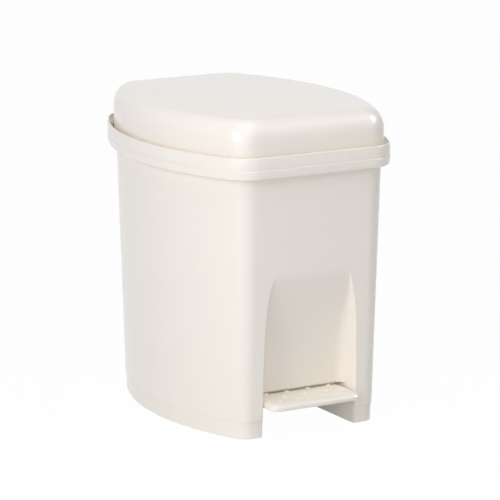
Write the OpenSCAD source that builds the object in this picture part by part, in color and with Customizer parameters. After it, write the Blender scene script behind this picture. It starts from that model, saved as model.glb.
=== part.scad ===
// Pedal bin for nappies: tapered casing with a foot recess, rim collar, domed
// hinged lid, lift-out bucket, and a pedal that opens the lid through a push rod.
// Millimetres. +Z is up, the pedal is at the front (-Y), the origin is on the
// floor at the centre of the overall box.

/* [Rim outline] */
// Width of the rim between its front corners
rim_front_w = 163; // [155:1:172]
// Width of the rim between its back corners
rim_back_w = 138; // [130:1:148]
// How far each side bows out beyond the line between its corners
side_bow = 43.7; // [40:0.1:47]
// Depth of the rim, front to back
rim_depth = 299; // [285:1:320]
// Radius of the rim's upright corners
rim_corner_r = 32; // [26:1:38]

/* [Casing] */
// Height of the wall, floor to the step of the mouth
body_h = 255; // [235:1:280]
// Wall thickness of the casing
wall = 2.2; // [1.8:0.1:2.8]
// How far the mouth steps out beyond the top of the wall
overhang = 9.2; // [8:0.1:11]
// How far the wall draws in from the mouth to the floor
taper = 7.6; // [4:0.2:10]
// Height of the plinth line
plinth_h = 16.5; // [12:0.5:22]
// How far the plinth is set back from the wall above it
plinth_step = 0.8; // [0.4:0.1:1.5]
// Height of the lower strip of the mouth, below the collar
mouth_h = 9.2; // [8:0.1:12]
// Height of the underside of the deck that carries the bucket
deck_z = 43; // [42:0.5:47]
// Thickness of the deck and its ribs
deck_t = 2.4; // [2:0.1:3]

/* [Foot recess] */
// Width of the recess at the pedal
recess_w = 106; // [100:1:112]
// Width of the recess where it fades out at its top
recess_top_w = 85; // [75:1:95]
// Height of the top of the recess
recess_top = 156; // [140:1:175]
// Depth of the recess at the pedal
recess_depth = 25; // [18:0.5:26]
// Height of the lower edge of the recess's back wall, above the tread
slot_z = 37.4; // [37:0.1:41]

/* [Collar] */
// Height of the collar's visible band
collar_h = 12.3; // [11:0.1:14]
// Thickness of the collar's upright lip
lip_t = 2.2; // [1.8:0.1:2.6]
// Thickness of the collar's ledge
ledge_t = 2; // [1.6:0.1:2.4]
// How far the ledge reaches in from the rim's face
ledge_w = 13; // [12:0.5:15]

/* [Lid] */
// Gap of the channel between the rim's face and the lid's skirt
lid_inset = 6.6; // [6:0.1:8]
// Wall thickness of the lid
lid_t = 2.2; // [1.8:0.1:2.6]
// Height of the lid's upright skirt
skirt_h = 23.5; // [20:0.5:27]
// Height of the rounded shoulder above the skirt
shoulder_h = 21; // [17:0.5:23]
// Width of the rounded shoulder, seen from above
shoulder_w = 17; // [14:0.5:20]
// Rise of the crowned top above the shoulder
crown = 2; // [1:0.25:4]
// How far the pedal opens the lid, in degrees
lid_open = 78; // [60:1:80]

/* [Hinge and crank] */
// Height of the hinge axis above the collar's lip
hinge_rise = 6.5; // [6.2:0.1:8]
// Radius of the hinge barrels
barrel_r = 5.4; // [4.8:0.1:5.6]
// Distance of the hinge's ears from the middle
ear_x = 36; // [30:1:44]
// Width of each ear
ear_w = 6; // [5:0.5:8]
// Width of each lid knuckle
knuckle_w = 12; // [9:1:16]
// Radius of the crank that the push rod lifts
crank_r = 22; // [19:0.5:22]
// Diameter of the hinge, crank and tail pins
pin_d = 4; // [3:0.5:4]

/* [Push rod] */
// Diameter of the steel rod
rod_d = 5; // [4:0.5:6]
// Thickness of the rod's plastic head and foot
head_t = 12; // [10:0.5:14]
// Height of the lower guide's middle
guide_low_z = 64; // [62:1:75]
// Height of the upper guide's middle
guide_high_z = 205; // [150:1:215]
// Height of each guide
guide_h = 16; // [12:1:20]
// Width of each guide's plate on the back wall
guide_w = 32; // [26:1:40]

/* [Pedal] */
// Width of the tread
tread_w = 99; // [90:1:99]
// Height of the tread's top
tread_z = 35.5; // [34.5:0.1:36]
// Depth of the front lip of the tread
lip_drop = 7; // [6:0.5:9]
// How far the tread stands out in front of the rim
pedal_proud = 1.5; // [0:0.5:6]
// Distance of the pedal's axle behind the rim's front
axle_back = 114; // [108:1:120]
// Height of the pedal's axle
axle_z = 22; // [21:0.5:24]
// Diameter of the pedal's steel axle
axle_d = 5; // [4:0.5:6]
// Width of the lever behind the tread
lever_w = 58; // [50:1:66]
// Height of each grip bump on the tread
bump_h = 1.1; // [0.6:0.1:1.6]

/* [Bucket] */
// Wall thickness of the bucket
bucket_t = 2; // [1.6:0.1:2.4]
// Gap between the collar's ledge and the bucket's wall
bucket_gap = 1.5; // [1:0.1:2.5]
// Set-back of the bucket's back wall from the rim's back
rod_space = 38; // [37:0.5:43]
// Front-to-back draw-in of the bucket's front wall, top to bottom
bucket_rake = 33; // [33:0.5:40]
// How far the bucket narrows at each side, top to bottom
bucket_draft = 6; // [5:0.5:10]
// Radius of the bucket's upright corners
bucket_r = 20; // [17:1:23]
// Width of the folding handle's strap
strap_w = 5; // [4:0.5:7]

/* [Hidden] */

ivory = [0.93, 0.9, 0.85];
white = [0.9, 0.89, 0.86];
steel = [0.72, 0.73, 0.75];

seat_gap = 0.3;      // between pieces that part when something moves
run_gap = 0.06;      // radial, in a bore that turns on its pin
slide_gap = 0.1;     // radial, round the push rod
joint = 0.01;        // small overlap that makes joined shapes one solid
over = 1;            // how far a cutting shape runs past what it cuts

// Rim: the front and back are flat, each side is an arc through two corners
front_y = -(rim_depth - pedal_proud) / 2;
back_y = front_y + rim_depth;
mid_y = (front_y + back_y) / 2;
lean = atan2((rim_front_w - rim_back_w) / 2, rim_depth);
chord = rim_depth / cos(lean);
side_r = (chord * chord / 4 + side_bow * side_bow) / (2 * side_bow);
side_x = (rim_front_w + rim_back_w) / 4 - (side_r - side_bow) * cos(lean);
side_y = mid_y - (side_r - side_bow) * sin(lean);

corner_steps = 7;
side_steps = 12;

// Heights
seam_z = body_h + mouth_h;
ledge_z = seam_z + ledge_t;
lip_z = seam_z + collar_h;
skirt_z = ledge_z + seat_gap;
shoulder_z = skirt_z + skirt_h;
brow_z = shoulder_z + shoulder_h;
floor_z = deck_z + deck_t + seat_gap;

// Hinge, crank and push rod, in the plane X = 0
barrel_set = 0.1;
hinge_y = back_y - barrel_r - barrel_set;
hinge_z = lip_z + hinge_rise;
crank_rest = [hinge_y - crank_r * cos(lid_open / 2), hinge_z - crank_r * sin(lid_open / 2)];
lift = 2 * crank_r * sin(lid_open / 2);
drift = crank_r * (1 - cos(lid_open / 2));
rod_y = hinge_y - crank_r + drift / 2;
knuckle_x = ear_x + ear_w / 2 + seat_gap;
pin_end = knuckle_x + knuckle_w - 3.3;
// The crank pin strays this far from a straight-line lift, so its slot is that much taller
crank_stray = 0.02 * crank_r;
slot_play = 0.12;
slot_half_h = pin_d / 2 + crank_stray + slot_play;
slot_end = 0.6;      // free length at each end of a slot
yoke_end = 2;        // wall of the rod's head and foot beyond a slot's end
yoke_wall = 2.6;     // and above and below the slot
head_half_h = slot_half_h + yoke_wall;
neck_r = rod_d / 2 + 2.4;
neck_h = 11;
socket_floor = 1;    // between the rod's end and the block of its head or foot
fork_play = 0.9;
fork_gap = head_t / 2 + fork_play;
fork_t = 3;
fork_r = 5;          // rounded end of the lid's fork
fork_x = fork_gap + fork_t;

// Pedal: the tail rises by the same lift as the crank
axle_y = front_y + axle_back;
tail_r = rod_y - axle_y;
pedal_swing = 2 * asin(lift / (2 * tail_r));
tail_drift = tail_r * (1 - cos(pedal_swing / 2));
tail_rest = [axle_y + tail_r * cos(pedal_swing / 2), axle_z - tail_r * sin(pedal_swing / 2)];
hub_wall = 3.4;
hub_r = axle_d / 2 + hub_wall;
tunnel_set = 2;      // how far each tunnel wall stands in from the recess's edge
tunnel_x = recess_w / 2 - tunnel_set;
tunnel_run = 34;     // length of the tunnel behind the axle
tunnel_back = axle_y + tunnel_run;
boss_w = 4;
boss_x = tunnel_x + wall + boss_w;
tread_front = front_y - pedal_proud;

// ---- outline and loft functions ----

// Half-width of the side arc, drawn in by s, at the depth y
function side_half(s, y) = side_x + sqrt(pow(side_r - s, 2) - pow(y - side_y, 2));

// Points of one rounded corner and its arcs: centre c, radius r, from angle a to b
function arc(c, r, a, b, n) =
    [for (i = [0:n]) let (t = a + (b - a) * i / n) [c[0] + r * cos(t), c[1] + r * sin(t)]];

// Right half of an outline, from the front corner to the back one: sides drawn in
// by s, flat front at y0, flat back at y1, upright corners of radius r
function right_half(s, y0, y1, r) =
    let (rs = side_r - s,
         cf = [side_half(s + r, y0 + r), y0 + r],
         cb = [side_half(s + r, y1 - r), y1 - r],
         af = atan2(cf[1] - side_y, cf[0] - side_x),
         ab = atan2(cb[1] - side_y, cb[0] - side_x),
         along = arc([side_x, side_y], rs, af, ab, side_steps))
    concat(arc(cf, r, -90, af, corner_steps),
           [for (i = [1:side_steps - 1]) along[i]],
           arc(cb, r, ab, 90, corner_steps));

// A whole outline: the middle of the front, the right half, the middle of the back,
// and the right half mirrored
function whole(front, half, y1) =
    let (right = concat(front, half))
    concat(right, [[0, y1]], [for (i = [len(right) - 1:-1:1]) [-right[i][0], right[i][1]]]);

// Outline drawn in by s all round, with flat front
function plain(s, r) = whole([[0, front_y + s]], right_half(s, front_y + s, back_y - s, r), back_y - s);

// Same, with its own front and back
function boxed(s, y0, y1, r) = whole([[0, y0]], right_half(s, y0, y1, r), y1);

function raise(outline, z) = [for (p = outline) [p[0], p[1], z]];

// Outline shrunk towards the middle of the bin by a factor k
function shrink(outline, k) = [for (p = outline) [p[0] * k, mid_y + (p[1] - mid_y) * k]];

// Solid between rings of equal count. A closed one joins its last ring to its first,
// as a hollow wall does; an open one is capped at both ends.
module loft(rings, closed) {
    n = len(rings[0]);
    m = len(rings);
    last = closed ? m - 1 : m - 2;
    skin = [for (i = [0:last], j = [0:n - 1])
            let (a = i * n, b = ((i + 1) % m) * n, k = (j + 1) % n)
            each [[a + j, b + j, b + k], [a + j, b + k, a + k]]];
    caps = closed ? [] : [[for (j = [0:n - 1]) j], [for (j = [n - 1:-1:0]) (m - 1) * n + j]];
    polyhedron([for (r = rings) each r], concat(skin, caps), convexity = 8);
}

// Solid between rings, closed by a flat face below and drawn up to a peak above
module dome(rings, peak) {
    n = len(rings[0]);
    m = len(rings);
    skin = [for (i = [0:m - 2], j = [0:n - 1])
            let (a = i * n, b = (i + 1) * n, k = (j + 1) % n)
            each [[a + j, b + j, b + k], [a + j, b + k, a + k]]];
    top = [for (j = [0:n - 1]) [(m - 1) * n + j, m * n, (m - 1) * n + (j + 1) % n]];
    base = [for (j = [0:n - 1]) j];
    polyhedron(concat([for (r = rings) each r], [peak]), concat(skin, top, [base]), convexity = 8);
}

// A rod along X, from x0 to x1, at [y, z]
module cross_rod(r, x0, x1, at, fn = 48) {
    translate([x0, at[0], at[1]]) rotate([0, 90, 0]) cylinder(r = r, h = x1 - x0, $fn = fn);
}

// A flat shape drawn in the Y-Z plane, made solid from x0 to x1
module side_plate(x0, x1) {
    translate([x0, 0, 0]) rotate([90, 0, 90]) linear_extrude(height = x1 - x0) children();
}

module both_sides() {
    children();
    mirror([1, 0, 0]) children();
}

// Upright slab: a cube given by two corners
module slab(low, high) {
    translate(low) cube(high - low);
}

// ---- casing ----

// How far the wall's outer face is drawn in from the rim, at the height z
function wall_in(z) = overhang + taper * (1 - z / body_h);

// Depth of the foot recess at the height z: full at the pedal, fading out smoothly above
function recess_d(z) =
    let (t = min(1, max(0, (z - deck_z) / (recess_top - deck_z))))
    recess_depth * pow(1 - pow(t, 2.2), 1.35);

// Half-width of the recess at the height z: a slight taper, narrowing fast near its top
recess_taper = 1;
function recess_half(z) =
    let (t = min(1, max(0, z / recess_top)))
    recess_w / 2 - (recess_w - recess_top_w) / 2 * pow(t, 5.5) - recess_taper * t;

// Cross-section of one side of the recess, from its back wall to the front: a fillet, a
// jamb that leans a little, and a rounded edge, as distances in from the edge and back
jamb_lean = 1.9;
jamb_fillet = 9;
jamb_edge = 1.6;
recess_form = concat(
    [for (a = [0:22.5:90])
        [jamb_lean + jamb_fillet * (1 - sin(a)), recess_depth - jamb_fillet * (1 - cos(a))]],
    [for (a = [0:30:90]) [jamb_edge * cos(a), jamb_edge * (1 - sin(a))]]);
least_scale = 0.12;

// Casing outline at the height z: drawn in by s from the rim, with the recess let in
// and w added to the recess's half-width. The cross-section shrinks with the depth.
function casing_line(s, z, w) =
    let (y0 = front_y + s, half = recess_half(z) + w, d = recess_d(z),
         k = max(least_scale, d / recess_depth))
    whole(concat([[0, y0 + d]],
                 [for (q = recess_form) [half - q[0] * k, y0 + d * q[1] / recess_depth]]),
          right_half(s, y0, back_y - s, rim_corner_r - s), back_y - s);

function casing_ring(s, z, w) = raise(casing_line(s, z, w), z);

// Heights of the rings, closer together where the recess curves away
plinth_edge = 0.4;   // half the height of the slope at the plinth line
step_fillet = 2.5;   // between the wall and the step of the mouth
mouth_edge = 1.2;    // rounding of the mouth's lower edge
lip_set = 0.4;       // how far the mouth's strip is set back from the collar
mouth_in = lip_set + wall;
wall_steps = concat(
    [plinth_h + plinth_edge, slot_z],
    [for (t = [0.18, 0.36, 0.52, 0.66, 0.78, 0.87, 0.94, 1]) slot_z + (recess_top - slot_z) * t],
    [body_h - step_fillet]);

module casing_shell() {
    outer = concat(
        [for (z = [0, plinth_h - plinth_edge]) casing_ring(wall_in(z) + plinth_step, z, plinth_step / 2)],
        [for (z = wall_steps) casing_ring(wall_in(z), z, 0)],
        [casing_ring(overhang - step_fillet * 0.32, body_h - step_fillet * 0.24, 0),
         casing_ring(overhang - step_fillet, body_h, 0),
         casing_ring(lip_set + mouth_edge, body_h, 0),
         casing_ring(lip_set, body_h + mouth_edge, 0),
         casing_ring(lip_set, seam_z, 0)]);
    inner = concat(
        [casing_ring(mouth_in, seam_z, wall),
         casing_ring(mouth_in, body_h + wall, wall),
         casing_ring(overhang + wall - step_fillet * 0.2, body_h + wall, wall),
         casing_ring(overhang + wall, body_h + wall - step_fillet * 0.8, wall)],
        [for (i = [len(wall_steps) - 2:-1:1])
            let (z = wall_steps[i]) casing_ring(wall_in(z) + wall, z, wall)],
        [for (z = [plinth_h - plinth_edge - wall / 2, 0])
            casing_ring(wall_in(z) + wall + plinth_step, z, wall + plinth_step / 2)]);
    loft(concat(outer, inner), true);
}

rib_h = 12;          // depth of the ribs under the deck
rib_lead = 28;       // from the front rib to the pedal's axle
rib_pitch = 66;      // from the tunnel's back rib to the last one

// Deck that carries the bucket, and ribs under it from the tunnel to the walls
module casing_deck() {
    mid = wall / 2;
    rib_z = deck_z - rib_h;
    translate([0, 0, deck_z])
        linear_extrude(height = deck_t) polygon(casing_line(wall_in(deck_z) + mid, deck_z, mid));
    intersection() {
        translate([0, 0, rib_z])
            linear_extrude(height = rib_h + joint) polygon(casing_line(wall_in(rib_z) + mid, deck_z, mid));
        both_sides() for (y = [axle_y - rib_lead, tunnel_back, tunnel_back + rib_pitch])
            slab([tunnel_x + joint, y - deck_t, 0], [rim_front_w, y, body_h]);
    }
}

tunnel_front = front_y + wall_in(0) + recess_depth / 2;

// Walls of the tunnel that the pedal works in, with bosses for its axle
module casing_tunnel() {
    both_sides() {
        slab([tunnel_x, tunnel_front, 0], [tunnel_x + wall, tunnel_back, deck_z + joint]);
        cross_rod(hub_r, tunnel_x + joint, boss_x, [axle_y, axle_z]);
    }
}

slot_reach = 12;     // how far the opening above the pedal runs in behind the recess
rod_way = 10;        // half-width of the hole that lets the push rod through the deck

module casing() color(ivory) difference() {
    union() {
        casing_shell();
        casing_deck();
        casing_tunnel();
    }
    // opening under the recess's back wall
    slab([-tunnel_x, tunnel_front - over / 2, -over],
         [tunnel_x, front_y + wall_in(0) + recess_depth + slot_reach, slot_z]);
    // bores for the pedal's axle
    cross_rod(axle_d / 2, -boss_x - over, boss_x + over, [axle_y, axle_z]);
    // way for the push rod through the deck
    slab([-rod_way, rod_y - rod_way, deck_z - over],
         [rod_way, back_in(deck_z + deck_t), deck_z + deck_t + over]);
}

// ---- collar ----

lip_edge = 1;        // rounding of the lip's top edges
tongue_t = 2.6;      // tongue that locates the collar in the mouth
tongue_h = 5;
tongue_lead = 0.4;   // how much the tongue narrows to its lower edge
shelf_play = 2.5;    // between the shelf and the bucket's back wall
shelf_y = back_y - rod_space + shelf_play;

crank_play = 1.5;    // between the lid's fork and the hole it works in

module collar_ring() {
    r = rim_corner_r;
    function at(s, z) = raise(plain(s, r - s), z);
    loft([at(0, seam_z), at(0, lip_z - lip_edge),
          at(lip_edge * 0.7, lip_z), at(lip_t - lip_edge * 0.7, lip_z), at(lip_t, lip_z - lip_edge * 0.8),
          at(lip_t, ledge_z), at(ledge_w, ledge_z), at(ledge_w, seam_z),
          at(mouth_in + tongue_t, seam_z), at(mouth_in + tongue_t - tongue_lead, seam_z - tongue_h),
          at(mouth_in + tongue_lead, seam_z - tongue_h), at(mouth_in, seam_z)], true);
}

module rim_collar() color(ivory) difference() {
    union() {
        collar_ring();
        // shelf over the space that the push rod works in
        intersection() {
            translate([0, 0, seam_z])
                linear_extrude(height = ledge_t) polygon(plain(lip_t / 2, rim_corner_r - lip_t / 2));
            slab([-rim_front_w, shelf_y, 0], [rim_front_w, back_y, lip_z]);
        }
        // ears that hold the hinge pins
        both_sides() side_plate(ear_x - ear_w / 2, ear_x + ear_w / 2) {
            translate([hinge_y, hinge_z]) circle(r = barrel_r, $fn = 48);
            translate([hinge_y - barrel_r, seam_z + joint]) square([2 * barrel_r, hinge_z - seam_z]);
        }
    }
    cross_rod(pin_d / 2, -ear_x - ear_w, ear_x + ear_w, [hinge_y, hinge_z]);
    // way for the crank and the rod's head
    slab([-fork_x - crank_play, shelf_y - over, seam_z - over],
         [fork_x + crank_play, hinge_y - barrel_r - crank_play, ledge_z + over]);
}

// ---- lid ----

shoulder_steps = 6;
brow_r = 10;         // least radius of the lid's upright corners
crown_form = [[0.72, 0.5], [0.38, 0.87]];   // crown's rings: share of the brow, share of the rise

// Rings of the lid's skin, drawn in by t for the inner one: skirt, shoulder, crown
function lid_rings(t, z0) =
    let (s0 = lid_inset + t,
         top = brow_z - t,
         base = shoulder_z,
         brow = plain(s0 + shoulder_w - t, brow_r))
    concat([raise(plain(s0, rim_corner_r - s0), z0)],
           [for (i = [0:shoulder_steps])
               let (a = 90 * i / shoulder_steps,
                    s = s0 + (shoulder_w - t) * (1 - cos(a)),
                    r = max(brow_r, rim_corner_r - s0 - 0.5 * (s - s0)))
               raise(plain(s, r), base + (top - base) * sin(a))],
           [for (c = crown_form) raise(shrink(brow, c[0]), top + crown * c[1])]);

module lid_shell() {
    difference() {
        dome(lid_rings(0, skirt_z), [0, mid_y, brow_z + crown]);
        dome(lid_rings(lid_t, skirt_z - over), [0, mid_y, brow_z + crown - lid_t]);
    }
}

// Fork inside the lid that holds the crank pin: a rounded end with arms to the skirt's back
module lid_fork() {
    root = back_y - lid_inset - lid_t / 2;
    both_sides() side_plate(fork_gap, fork_x) {
        translate(crank_rest) circle(r = fork_r, $fn = 48);
        polygon([crank_rest + fork_r * [cos(156), sin(156)], crank_rest + fork_r * [cos(281), sin(281)],
                 [root, skirt_z + 1], [root, shoulder_z + fork_r],
                 [crank_rest[0] + fork_r * 0.6, shoulder_z + fork_r * 1.6]]);
    }
}

notch_play = 0.8;    // between a notch in the skirt and the ear inside it
neck_play = 2;       // between the open lid's skirt and the neck of the rod's head

module lid() color(ivory) {
    difference() {
        union() {
            lid_shell();
            lid_fork();
            both_sides() cross_rod(barrel_r, knuckle_x, knuckle_x + knuckle_w, [hinge_y, hinge_z]);
        }
        // notches that let the collar's ears through the skirt
        both_sides() slab([ear_x - ear_w / 2 - notch_play, hinge_y - barrel_r - over, skirt_z - over],
                          [knuckle_x, back_y + over, hinge_z + barrel_r + over]);
        // relief in the skirt, so that the open lid clears the neck of the rod's head
        slab([-fork_gap, hinge_y - barrel_r - over, skirt_z - over],
             [fork_gap, back_y, hinge_z + neck_r + neck_play - (hinge_y - rod_y)]);
        both_sides() cross_rod(pin_d / 2 + run_gap, ear_x, pin_end + over, [hinge_y, hinge_z]);
        cross_rod(pin_d / 2, -fork_x - over, fork_x + over, crank_rest);
    }
}

module hinge_pins() color(steel) both_sides()
    cross_rod(pin_d / 2, ear_x - ear_w / 2, pin_end, [hinge_y, hinge_z]);

module crank_pin() color(steel)
    cross_rod(pin_d / 2, -fork_x, fork_x, crank_rest);

// ---- push rod ----

// Half the length of the block whose pin drifts by this much along its level slot
function yoke_half_l(pin_drift) = pin_d / 2 + pin_drift / 2 + slot_end + yoke_end;

// A block at the height at, with a level slot for a pin; up is 1 when the rod leaves upwards
module yoke(at, up, pin_drift) {
    half_l = yoke_half_l(pin_drift);
    run = half_l - yoke_end - slot_half_h;
    difference() {
        union() {
            side_plate(-head_t / 2, head_t / 2) difference() {
                translate([rod_y - half_l, at - head_half_h]) square([2 * half_l, 2 * head_half_h]);
                translate([rod_y, at]) {
                    square([2 * run, 2 * slot_half_h], center = true);
                    for (side = [-1, 1]) translate([side * run, 0]) circle(r = slot_half_h, $fn = 40);
                }
            }
            translate([0, rod_y, at + (up > 0 ? head_half_h - joint : -head_half_h - neck_h)])
                cylinder(r = neck_r, h = neck_h + joint, $fn = 48);
        }
        // socket for the rod's end
        translate([0, rod_y, at + up * (head_half_h + socket_floor) - (up > 0 ? 0 : neck_h)])
            cylinder(r = rod_d / 2, h = neck_h, $fn = 48);
    }
}

rod_top = crank_rest[1] - head_half_h - socket_floor;
rod_bottom = tail_rest[1] + head_half_h + socket_floor;

module rod_head() color(white) yoke(crank_rest[1], -1, drift);

module rod_foot() color(white) yoke(tail_rest[1], 1, tail_drift);

module push_rod() color(steel)
    translate([0, rod_y, rod_bottom]) cylinder(d = rod_d, h = rod_top - rod_bottom, $fn = 48);

// Inner face of the casing's back wall at the height z
function back_in(z) = back_y - wall_in(z) - wall;

guide_plate_t = 2.5;
guide_set = 2;       // how far a guide's arm stops short of its plate's ends
guide_r = neck_r + 0.4;

// Each guide: a plate on the back wall, an arm, and an eye that the rod slides in
module rod_guides() color(white) for (z = [guide_low_z, guide_high_z]) difference() {
    low = z - guide_h / 2;
    high = z + guide_h / 2;
    a = low + guide_set;
    b = high - guide_set;
    union() {
        side_plate(-neck_r - 1.5, neck_r + 1.5)
            polygon([[rod_y, a], [back_in(a), a], [back_in(b), b], [rod_y, b]]);
        side_plate(-guide_w / 2, guide_w / 2)
            polygon([[back_in(low) - guide_plate_t, low], [back_in(low), low],
                     [back_in(high), high], [back_in(high) - guide_plate_t, high]]);
        translate([0, rod_y, a]) cylinder(r = guide_r, h = b - a, $fn = 48);
    }
    translate([0, rod_y, low - over]) cylinder(r = rod_d / 2 + slide_gap, h = guide_h + 2 * over, $fn = 48);
}

// ---- pedal ----

module tail_pin() color(steel)
    cross_rod(pin_d / 2, -fork_x, fork_x, tail_rest);

tread_run = 4;       // how far the tread reaches in behind the recess
tread_back = front_y + wall_in(0) + recess_depth + tread_run;
tread_r = 8;         // radius of the tread's corners, seen from above
tread_t = 2.4;
tread_steps = 5;
// Rolled edge of the tread, from its side to its top, as distances in and down
tread_roll = [[0.2, 3], [1, 1.7], [2.6, 0.8], [5.2, 0.25], [8.5, 0]];

// Outline of the tread drawn in by s: a rectangle with round corners
function tread_line(s) =
    let (hx = tread_w / 2 - s, y0 = tread_front + s, y1 = tread_back - s, q = max(0.6, tread_r - s))
    concat(arc([hx - q, y0 + q], q, -90, 0, tread_steps), arc([hx - q, y1 - q], q, 0, 90, tread_steps),
           arc([q - hx, y1 - q], q, 90, 180, tread_steps), arc([q - hx, y0 + q], q, 180, 270, tread_steps));

// Tray-shaped tread, open below, with a rolled edge
module tread() {
    low = tread_z - lip_drop;
    t = tread_t;
    function at(s, z) = raise(tread_line(s), z);
    difference() {
        loft(concat([at(0.8, low), at(0.2, low + 0.7), at(0, low + 2)],
                    [for (e = tread_roll) at(e[0], tread_z - e[1])]), false);
        loft([at(t + 0.2, low - over), at(t, low + 2), at(t + 1, tread_z - t - 1), at(t + 4, tread_z - t)],
             false);
    }
}

// Grip bumps, in rows of four, three and four
module bumps() {
    pitch_x = 23.5;
    pitch_y = 14.4;
    first_y = tread_front + 11.5;
    r = 2.6;
    for (row = [0:2]) {
        count = row == 1 ? 3 : 4;
        for (i = [0:count - 1])
            translate([(i - (count - 1) / 2) * pitch_x, first_y + row * pitch_y, tread_z + bump_h - r])
                sphere(r = r, $fn = 32);
    }
}

lever_bend = 26;     // the lever narrows from this far in front of the axle to as far behind it
lever_front = tread_back - 14;
web_h = 9.5;         // depth of the lever's edge webs
tail_eye_r = 4.6;    // rounded end of the lever's fork
hub_play = 1;        // between the hub's ends and the tunnel's walls
foot_play = 2.5;     // between the lever's top and the rod's foot

// Lever from above: as wide as lever_w at the tread, narrow at the tail
module lever_plan(s, tail) {
    fork = fork_x - s;
    wide = lever_w / 2 - s;
    y0 = axle_y - lever_bend - s;
    y1 = axle_y + lever_bend - s;
    polygon([[wide, lever_front], [wide, y0], [fork, y1], [fork, tail],
             [-fork, tail], [-fork, y1], [-wide, y0], [-wide, lever_front]]);
}

// Height of the lever's top edge, from the tread, over the axle, down to the tail
lever_top = [[lever_front - 2, tread_z - 2], [axle_y - lever_bend, axle_z + 10], [axle_y, axle_z + 7.5],
             [tail_rest[0] - 12, tail_rest[1] + 6], [tail_rest[0], tail_rest[1] + tail_eye_r]];

// Band of depth t under the lever's top edge, seen from the side
module lever_side(t) {
    polygon(concat(lever_top, [for (i = [len(lever_top) - 1:-1:0]) lever_top[i] - [0, t]]));
}

module lever() {
    // thin top, short of the rod's foot
    intersection() {
        translate([0, 0, -over]) linear_extrude(height = deck_z)
            lever_plan(0, rod_y - yoke_half_l(tail_drift) - foot_play);
        side_plate(-lever_w, lever_w) lever_side(tread_t);
    }
    // edge webs, which become the fork at the tail
    intersection() {
        translate([0, 0, -over]) linear_extrude(height = deck_z) difference() {
            lever_plan(0, tail_rest[0] + 1);
            lever_plan(fork_t, tail_rest[0] + 2 * tail_eye_r);
        }
        side_plate(-lever_w, lever_w) lever_side(web_h);
    }
    both_sides() cross_rod(tail_eye_r, fork_gap, fork_x, tail_rest);
    // hub that turns on the axle, and ribs across the lever
    cross_rod(hub_r, hub_play - tunnel_x, tunnel_x - hub_play, [axle_y, axle_z]);
    for (t = [0.3, 0.6]) {
        y = axle_y + (rod_y - axle_y) * t;
        z = lever_top[2][1] + (lever_top[3][1] - lever_top[2][1]) * t;
        slab([-fork_gap - joint, y, z - 8], [fork_gap + joint, y + 2, z - 1.5]);
    }
}

module pedal() color(ivory) difference() {
    union() {
        tread();
        bumps();
        lever();
    }
    cross_rod(axle_d / 2 + run_gap, -tread_w, tread_w, [axle_y, axle_z]);
    cross_rod(pin_d / 2, -fork_x - over, fork_x + over, tail_rest);
}

axle_end = 3;        // how far the axle stands out of its bosses
cap_brim = 3;        // how far a cap's brim stands out round the axle
cap_t = 1.2;         // wall of a cap

module pedal_axle() color(steel)
    cross_rod(axle_d / 2, -boss_x - axle_end, boss_x + axle_end, [axle_y, axle_z]);

// Push-on caps at the ends of the axle
module axle_caps() color(steel) both_sides() {
    r = axle_d / 2;
    translate([boss_x, axle_y, axle_z]) rotate([0, 90, 0]) rotate_extrude($fn = 48)
        polygon([[r, 0], [r + cap_brim, 0], [r + cap_brim, cap_t * 2 / 3], [r + cap_t * 4 / 3, cap_t],
                 [r + cap_t, axle_end + 1], [0, axle_end + cap_t + 0.2], [0, axle_end], [r, axle_end]]);
}

// ---- bucket ----

bucket_in = ledge_w + bucket_gap;
bucket_front = front_y + bucket_in;
bucket_back = back_y - rod_space;
bucket_back_rake = 4;
bucket_top = ledge_z + seat_gap;
bucket_foot = 3;     // rounding between the bucket's wall and its floor
flange_t = 2;
flange_w = 4;
handle_y = (bucket_front + bucket_back) / 2;
handle_drop = 8;     // from the bucket's mouth to the middle of its handle's pins
handle_z = bucket_top - handle_drop;
handle_pin_r = 2.5;
eye_r = 5;           // radius of the handle's ends
strap_h = 4.4;
pad_t = 0.6;         // pads on both faces of the bucket's wall, round the pins
pad_r = handle_pin_r + 3;

// Bucket outline at the share t of its height, drawn in by s
function bucket_ring(t, s, z) =
    raise(boxed(bucket_in + bucket_draft * (1 - t) + s, bucket_front + bucket_rake * (1 - t) + s,
                bucket_back - bucket_back_rake * (1 - t) - s, bucket_r - s / 2), z);

// How far the bucket's side wall is drawn in at the height z
function bucket_side_in(z) = bucket_in + bucket_draft * (bucket_top - z) / (bucket_top - floor_z);

skin_x = side_half(bucket_side_in(handle_z), handle_y);

module inner_bucket() color(white) difference() {
    union() {
        difference() {
            loft([bucket_ring(0, bucket_foot, floor_z),
                  bucket_ring(0, bucket_foot * 0.2, floor_z + bucket_foot / 3),
                  bucket_ring(0, 0, floor_z + bucket_foot + 0.5),
                  bucket_ring(1, 0, bucket_top - 0.8),
                  bucket_ring(1, -1, bucket_top),
                  bucket_ring(1, -flange_w, bucket_top),
                  bucket_ring(1, -flange_w - 0.3, bucket_top + flange_t / 2),
                  bucket_ring(1, -flange_w, bucket_top + flange_t)], false);
            loft([bucket_ring(0, bucket_t + bucket_foot, floor_z + bucket_t),
                  bucket_ring(0, bucket_t, floor_z + bucket_t + bucket_foot),
                  bucket_ring(1, bucket_t, bucket_top + flange_t + over)], false);
        }
        // pads round the holes for the handle's pins
        both_sides() cross_rod(pad_r, skin_x - bucket_t - pad_t, skin_x + pad_t, [handle_y, handle_z]);
    }
    both_sides()
        cross_rod(handle_pin_r + run_gap, skin_x - bucket_t - eye_r, skin_x + eye_r, [handle_y, handle_z]);
}

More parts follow.
